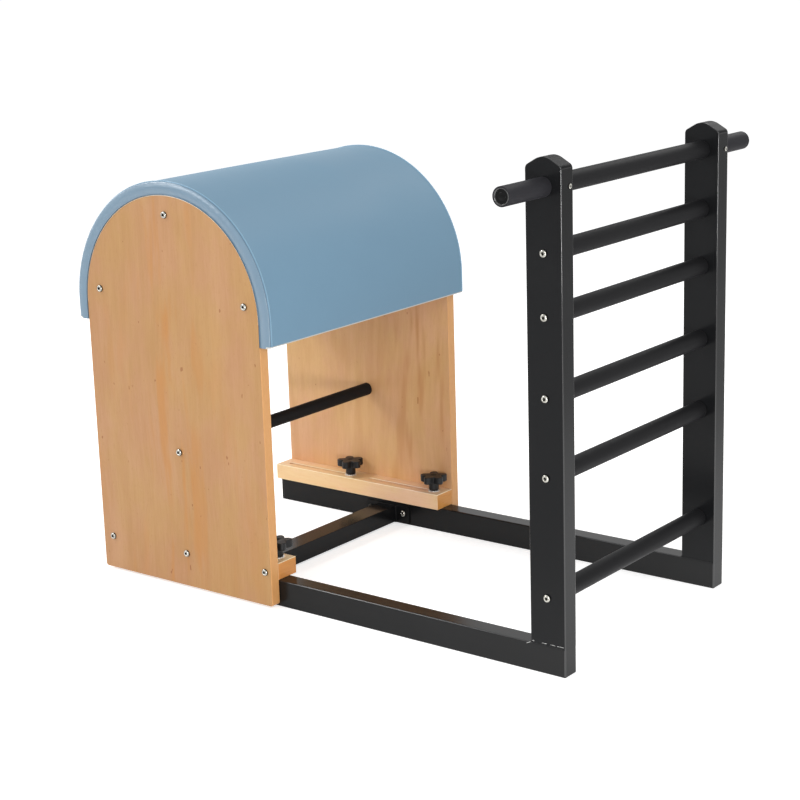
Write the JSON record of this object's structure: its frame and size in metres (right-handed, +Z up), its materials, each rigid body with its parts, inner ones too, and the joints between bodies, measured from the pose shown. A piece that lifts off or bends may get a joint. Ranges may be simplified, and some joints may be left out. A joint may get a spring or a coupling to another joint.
{
  "type": "pilates ladder barrel",
  "caption": "Half-round padded barrel on plywood ends that slides and clamps along a welded steel ladder frame with rungs and side handles.",
  "frame": {"origin": "on the floor, below the middle of the whole object's box with the barrel at the far end of its travel", "axes": "+X along the rails from the barrel to the ladder, +Y across to the left rail, +Z up"},
  "size_m": [1.2754, 0.912, 1.015],
  "materials": {
    "frame_paint": "satin black powder coat with a fine orange peel",
    "birch_ply": "clear satin lacquer over warm rotary-cut birch plywood",
    "cleat_wood": "clear satin lacquer over pale solid wood",
    "pad_vinyl": "dusty blue imitation leather, soft sheen",
    "pad_foam": "open-cell foam, matt",
    "bright_zinc": "bright zinc plating",
    "knob_plastic": "satin moulded black plastic",
    "black_plastic": "glossy moulded black plastic"
  },
  "bodies": {
    "frame": {"base_rail_left": "frame_paint", "base_rail_right": "frame_paint", "rail_end_plug_left": "black_plastic", "rail_end_plug_right": "black_plastic", "cross_member": "frame_paint", "cross_bolt_left_1": "bright_zinc", "cross_bolt_left_2": "bright_zinc", "cross_bolt_right_1": "bright_zinc", "cross_bolt_right_2": "bright_zinc", "ladder_upright_left": "frame_paint", "ladder_upright_right": "frame_paint", "rung_1": "frame_paint", "rung_2": "frame_paint", "rung_3": "frame_paint", "rung_4": "frame_paint", "rung_5": "frame_paint", "rung_bolt_left_1": "bright_zinc", "rung_bolt_left_2": "bright_zinc", "rung_bolt_left_3": "bright_zinc", "rung_bolt_left_4": "bright_zinc", "rung_bolt_left_5": "bright_zinc", "rung_bolt_right_1": "bright_zinc", "rung_bolt_right_2": "bright_zinc", "rung_bolt_right_3": "bright_zinc", "rung_bolt_right_4": "bright_zinc", "rung_bolt_right_5": "bright_zinc", "top_bar": "frame_paint", "top_bar_plug_left": "black_plastic", "top_bar_plug_right": "black_plastic", "top_bar_screw_left": "bright_zinc", "top_bar_screw_right": "bright_zinc"},
    "barrel": {"end_panel_left": "birch_ply", "end_panel_right": "birch_ply", "barrel_shell": "birch_ply", "cleat_left": "cleat_wood", "cleat_right": "cleat_wood", "stringer_front": "cleat_wood", "stringer_top": "cleat_wood", "stringer_back": "cleat_wood", "spreader_bar": "frame_paint", "foam_pad": "pad_foam", "pad_cover": "pad_vinyl", "panel_bolt_left_stringer_front": "bright_zinc", "panel_bolt_left_stringer_top": "bright_zinc", "panel_bolt_left_stringer_back": "bright_zinc", "panel_bolt_left_spreader": "bright_zinc", "panel_bolt_left_cleat_back": "bright_zinc", "panel_bolt_left_cleat_middle": "bright_zinc", "panel_bolt_left_cleat_front": "bright_zinc", "panel_bolt_right_stringer_front": "bright_zinc", "panel_bolt_right_stringer_top": "bright_zinc", "panel_bolt_right_stringer_back": "bright_zinc", "panel_bolt_right_spreader": "bright_zinc", "panel_bolt_right_cleat_back": "bright_zinc", "panel_bolt_right_cleat_middle": "bright_zinc", "panel_bolt_right_cleat_front": "bright_zinc"},
    "knob_left_back": {"star_knob_left_back": "knob_plastic"},
    "knob_left_front": {"star_knob_left_front": "knob_plastic"},
    "knob_right_back": {"star_knob_right_back": "knob_plastic"},
    "knob_right_front": {"star_knob_right_front": "knob_plastic"}
  },
  "joints": [
    {"name": "barrel_slide", "type": "slide", "parent": "frame", "child": "barrel", "axis": [1, 0, 0], "range_m": [0, 0.195]},
    {"name": "knob_left_back_turn", "type": "hinge", "parent": "frame", "child": "knob_left_back", "pos_m": [-0.3852, 0.287, 0.1], "axis": [0, 0, 1], "range_deg": [0, 360]},
    {"name": "knob_left_front_turn", "type": "hinge", "parent": "frame", "child": "knob_left_front", "pos_m": [-0.1272, 0.287, 0.1], "axis": [0, 0, 1], "range_deg": [0, 360]},
    {"name": "knob_right_back_turn", "type": "hinge", "parent": "frame", "child": "knob_right_back", "pos_m": [-0.3852, -0.287, 0.1], "axis": [0, 0, 1], "range_deg": [0, 360]},
    {"name": "knob_right_front_turn", "type": "hinge", "parent": "frame", "child": "knob_right_front", "pos_m": [-0.1272, -0.287, 0.1], "axis": [0, 0, 1], "range_deg": [0, 360]}
  ]
}
